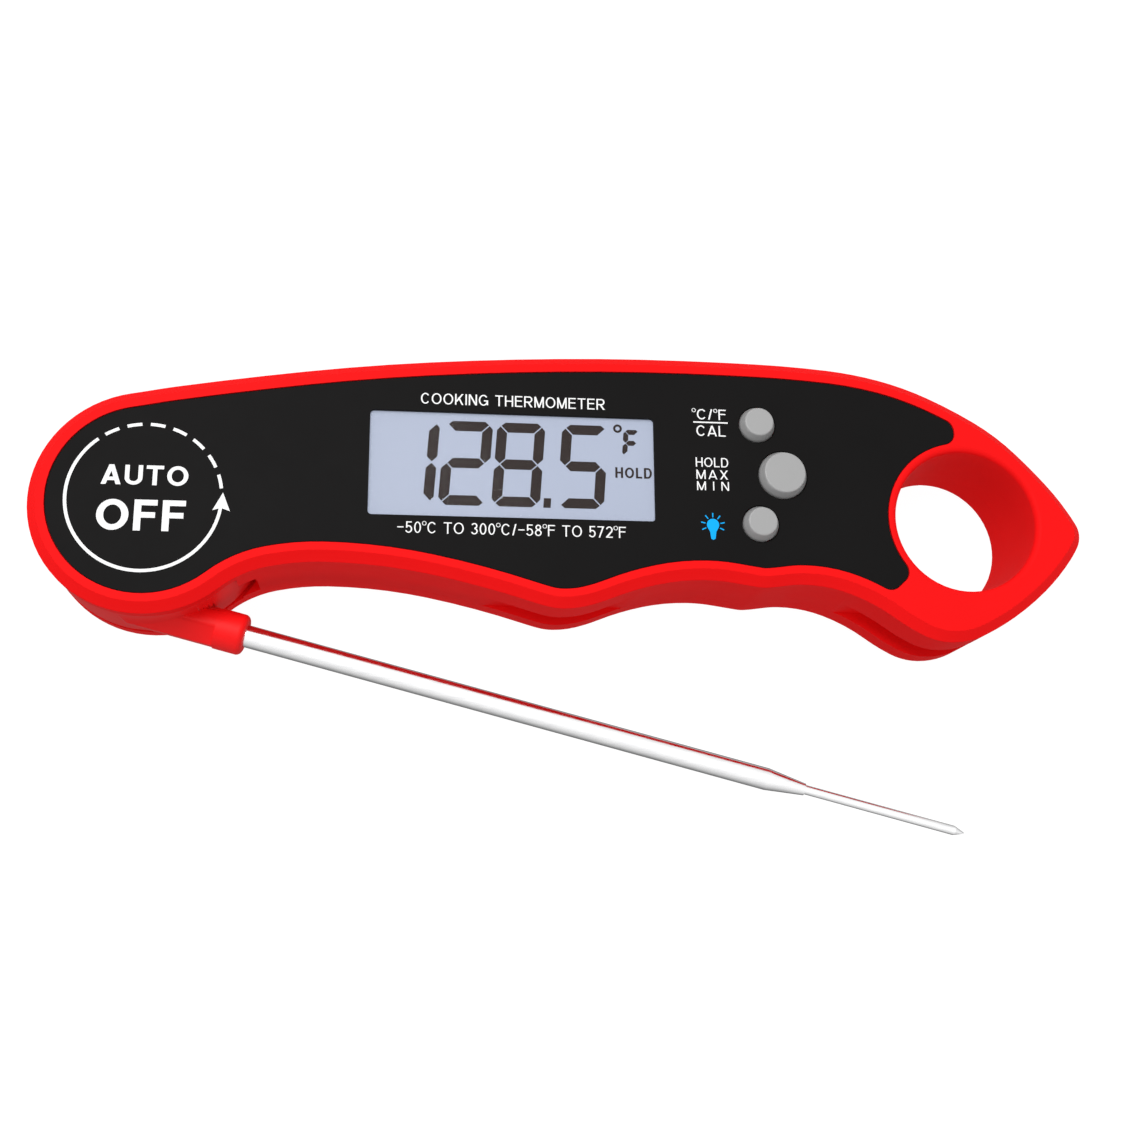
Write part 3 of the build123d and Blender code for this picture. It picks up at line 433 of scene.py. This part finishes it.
# Widths of the plain capitals and figures, for a height of 1.
WIDTHS = {"A": 0.94, "C": 0.9, "D": 0.86, "E": 0.76, "F": 0.72, "G": 0.95, "H": 0.84, "I": 0.16, "K": 0.86,
          "L": 0.68, "M": 0.98, "N": 0.84, "O": 1.0, "R": 0.86, "T": 0.82, "U": 0.84, "X": 0.86, "0": 0.68,
          "2": 0.68, "3": 0.68, "5": 0.68, "7": 0.68, "8": 0.68, "-": 0.62, "/": 0.42, "*": 0.26, " ": 0.34}
LETTER_SPACE = 0.16


def strokes(letter, w, t):
    """The strokes of one letter in a box w wide and 1 high: bars, slants and arcs t thick."""
    thin = 0.84 * t
    left, right, top, foot = (0, t, 0, 1), (w - t, w, 0, 1), (0, w, 1 - thin, 1), (0, w, 0, thin)
    middle = (0, w, 0.5 - thin / 2, 0.5 + thin / 2)
    bars = {
        "A": [(0.2 * w, 0.8 * w, 0.2, 0.2 + thin)],
        "D": [left, (0, 0.5 * w, 1 - thin, 1), (0, 0.5 * w, 0, thin)],
        "E": [left, top, foot, (0, 0.93 * w, 0.6 - thin, 0.6)],
        "F": [left, top, (0, 0.92 * w, 0.6 - thin, 0.6)],
        "G": [(0.55 * w, w, 0.5 - thin, 0.5), (w - t, w, 0.06, 0.5)], "H": [left, right, middle],
        "I": [(w / 2 - t / 2, w / 2 + t / 2, 0, 1)], "K": [left], "L": [left, foot], "M": [left, right],
        "N": [left, right], "R": [left, (0, 0.6 * w, 1 - thin, 1), (0, 0.6 * w, 0.42, 0.42 + thin)],
        "T": [top, (w / 2 - t / 2, w / 2 + t / 2, 0, 1)], "U": [(0, t, 0.36, 1), (w - t, w, 0.36, 1)],
        "2": [foot], "5": [(0.14 * w, 0.93 * w, 1 - thin, 1), (0.1 * w, 0.1 * w + t, 0.44, 1)], "7": [top],
        "-": [middle],
    }
    slants = {
        "A": [(0, 0, w / 2, 1), (w, 0, w / 2, 1)], "K": [(t, 0.3, w, 1), (w, 0, 0.42 * w, 0.66)],
        "M": [(0, 1, w / 2, 0), (w, 1, w / 2, 0)], "N": [(0, 1, w, 0)], "R": [(0.5 * w, 0.44, w, 0)],
        "X": [(0, 0, w, 1), (w, 0, 0, 1)], "2": [(0, t * 0.7, 0.93 * w, 0.56)], "7": [(0.28 * w, 0, w, 1)],
        "/": [(0, 0, w, 1)],
    }
    full = (w / 2, 0.5, w / 2, 0.5)
    arcs = {
        "C": [(*full, 38, 322)], "D": [(0.5 * w, 0.5, 0.5 * w, 0.5, -90, 90)], "G": [(*full, 38, 335)],
        "O": [(*full, 0, 360)], "R": [(0.6 * w, 0.71, 0.38 * w, 0.29, -90, 90)],
        "U": [(w / 2, 0.36, w / 2, 0.36, 180, 360)], "0": [(*full, 0, 360)],
        "2": [(w / 2, 0.7, w / 2, 0.3, -32, 168)],
        "3": [(w / 2, 0.75, 0.45 * w, 0.25, -90, 160), (w / 2, 0.28, w / 2, 0.28, -160, 90)],
        "5": [(0.47 * w, 0.33, 0.53 * w, 0.33, -155, 125)],
        "8": [(w / 2, 0.76, 0.43 * w, 0.24, 0, 360), (w / 2, 0.28, w / 2, 0.28, 0, 360)],
        "*": [(w / 2, 0.87, 0.19, 0.19, 0, 360)],
    }
    shapes = [[(x0, y0), (x1, y0), (x1, y1), (x0, y1)] for x0, x1, y0, y1 in bars.get(letter, ())]
    for x0, y0, x1, y1 in slants.get(letter, ()):
        run = abs((x1 - x0) / (y1 - y0))
        across = t * (1 + run * run) ** 0.5
        ends = [min(max(x, across / 2), w - across / 2) for x in (x0, x1)]
        shapes.append([(ends[0] - across / 2, y0), (ends[0] + across / 2, y0),
                       (ends[1] + across / 2, y1), (ends[1] - across / 2, y1)])
    for x, y, rx, ry, start, end in arcs.get(letter, ()):
        band = t if letter != "*" else t * 0.5
        steps = max(6, int((end - start) / 9))
        turns = [radians(start + (end - start) * step / steps) for step in range(steps + 1)]
        ring = [(x + rx * cos(a), y + ry * sin(a)) for a in turns]
        ring += [(x + (rx - band) * cos(a), y + (ry - 0.84 * band) * sin(a)) for a in reversed(turns)]
        shapes.append(ring)
    return shapes


def lettering(words, left, right, foot, head, level, weight=0.14):
    """Plain printed capitals of even strokes, spaced to fill a line from left to right."""
    high = head - foot
    joints = len(words) - 1
    natural = sum(WIDTHS[letter] for letter in words) * high
    squeeze = min(1.0, (right - left - LETTER_SPACE * high * joints) / natural)
    widths = [WIDTHS[letter] * high * squeeze for letter in words]
    space = (right - left - sum(widths)) / joints
    pieces, x = [], left
    for letter, wide in zip(words, widths):
        for layer, shape in enumerate(strokes(letter, wide / high, weight)):
            corners = [(x + px * high, foot + py * high) for px, py in shape]
            pieces.append(flat_shape("stroke", corners, level, PRINT_THICKNESS + layer * 0.003 * MM))
        x += wide + space
    return pieces


digits += lettering("HOLD", 71.2, 77.0, 5.6, 7.35, LCD_LEVEL, weight=0.2)
display_segments = gather(digits, "display_segments", "housing", segment_ink)

# ---- Face plate and its printing --------------------------------------------------
# A satin black plate with white screen printing, and a clear acrylic window over the display.
black_plate = moulded("black_plate", (0.0100, 0.0095, 0.0095), 0.42, grain=0.000006, gloss=0.02, speck=0.05)
dressed("face_plate", "printed_face", "housing", black_plate,
        levels=(PLATE_LEVEL / MM,), edge=0.08)

clear_acrylic, tree, surface, place = shader("clear_acrylic")
haze = join(tree, "TexNoise", place, Scale=120.0)
tree.links.new(ramp(tree, haze.outputs["Fac"], 0.04, 0.08), surface.inputs["Roughness"])
surface.inputs["Base Color"].default_value = (0.05, 0.05, 0.06, 1)
surface.inputs["Alpha"].default_value = 0.05
surface.inputs["Specular IOR Level"].default_value = 0.3
dressed("display_window", "clear_window", "housing", clear_acrylic,
        levels=(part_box("display_window")[1].z / MM,), edge=0.1)

white_ink = moulded("white_ink", (0.97, 0.97, 0.97), 0.6, grain=0.000002, gloss=0.05, speck=0.01)
blue_ink = moulded("blue_ink", (0.011, 0.45, 1.0), 0.6, grain=0.000002, gloss=0.02, speck=0.01)
prints = [flat_shape("rule", [(83.7, 14.92), (89.25, 14.92), (89.25, 15.14), (83.7, 15.14)], PLATE_LEVEL)]
for words, left, right, foot, head, weight in (
        ("AUTO", -6.65, 6.1, 2.03, 5.13, 0.21), ("OFF", -6.95, 6.0, -5.07, -0.27, 0.215),
        ("COOKING THERMOMETER", 40.7, 69.55, 16.53, 18.33, 0.125),
        ("-50*C TO 300*C/-58*F TO 572*F", 37.5, 72.6, -4.37, -2.57, 0.115),
        ("*C/*F", 83.6, 89.0, 15.5, 17.25, 0.13), ("CAL", 84.15, 88.85, 12.73, 14.5, 0.13),
        ("HOLD", 83.9, 89.1, 7.6, 9.15, 0.13), ("MAX", 83.95, 89.0, 5.6, 7.1, 0.13),
        ("MIN", 84.0, 89.1, 3.75, 5.2, 0.13)):
    prints += lettering(words, left, right, foot, head, PLATE_LEVEL, weight)

DIAL_X, DIAL_Y, DIAL_RADIUS, DIAL_LINE = -0.25, 0.23, 11.43, 0.5
prints.append(ring_shape("sweep", DIAL_X, DIAL_Y, DIAL_RADIUS, DIAL_LINE, PLATE_LEVEL, 129, 356))
DASH_START, DASH_STEP, DASH_ANGLE = 8.1, 17.3, 11
for dash in range(7):
    start = DASH_START + dash * DASH_STEP
    prints.append(ring_shape("dash", DIAL_X, DIAL_Y, DIAL_RADIUS, DIAL_LINE, PLATE_LEVEL,
                             start, start + DASH_ANGLE))
ARROW = [(11.6, 0.95), (10.15, -1.85), (11.4, -1.45), (12.75, -1.95)]
prints.append(flat_shape("arrow", [(DIAL_X + x, DIAL_Y + y) for x, y in ARROW], PLATE_LEVEL,
                         PRINT_THICKNESS + 0.004 * MM))
gather(prints, "white_printing", "housing", white_ink)

LAMP_X, LAMP_Y = 86.35, -1.95
GLOBE_Y, GLOBE_RADIUS = LAMP_Y + 0.1, 0.98
bulb = [(LAMP_X - 0.34, LAMP_Y - 2.15), (LAMP_X, LAMP_Y - 2.35), (LAMP_X + 0.34, LAMP_Y - 2.15),
        (LAMP_X + 0.5, LAMP_Y - 1.0)]
bulb += [(LAMP_X + GLOBE_RADIUS * cos(radians(a)), GLOBE_Y + GLOBE_RADIUS * sin(radians(a)))
         for a in range(-25, 206, 15)]
bulb += [(LAMP_X - 0.5, LAMP_Y - 1.0)]
rays = [flat_shape("bulb", bulb, PLATE_LEVEL)]
for angle in (-25, 12, 52, 90, 128, 168, 205):
    way = Vector((cos(radians(angle)), sin(radians(angle))))
    across = Vector((-way.y, way.x))
    middle = Vector((LAMP_X, GLOBE_Y))
    corners = [middle + way * reach + across * half
               for reach, half in ((1.2, -0.08), (1.9, -0.1), (1.9, 0.1), (1.2, 0.08))]
    rays.append(flat_shape("ray", corners, PLATE_LEVEL))
gather(rays, "lamp_symbol", "housing", blue_ink)

# ---- Keys -------------------------------------------------------------------------
# Three light grey push keys with rounded rims.
key_grey = moulded("key_grey", (0.375, 0.375, 0.375), 0.3, grain=0.000004, gloss=0.35, speck=0.02)
for key in ("unit", "hold", "light"):
    dressed(key + "_key", key + "_cap", key + "_button", key_grey)
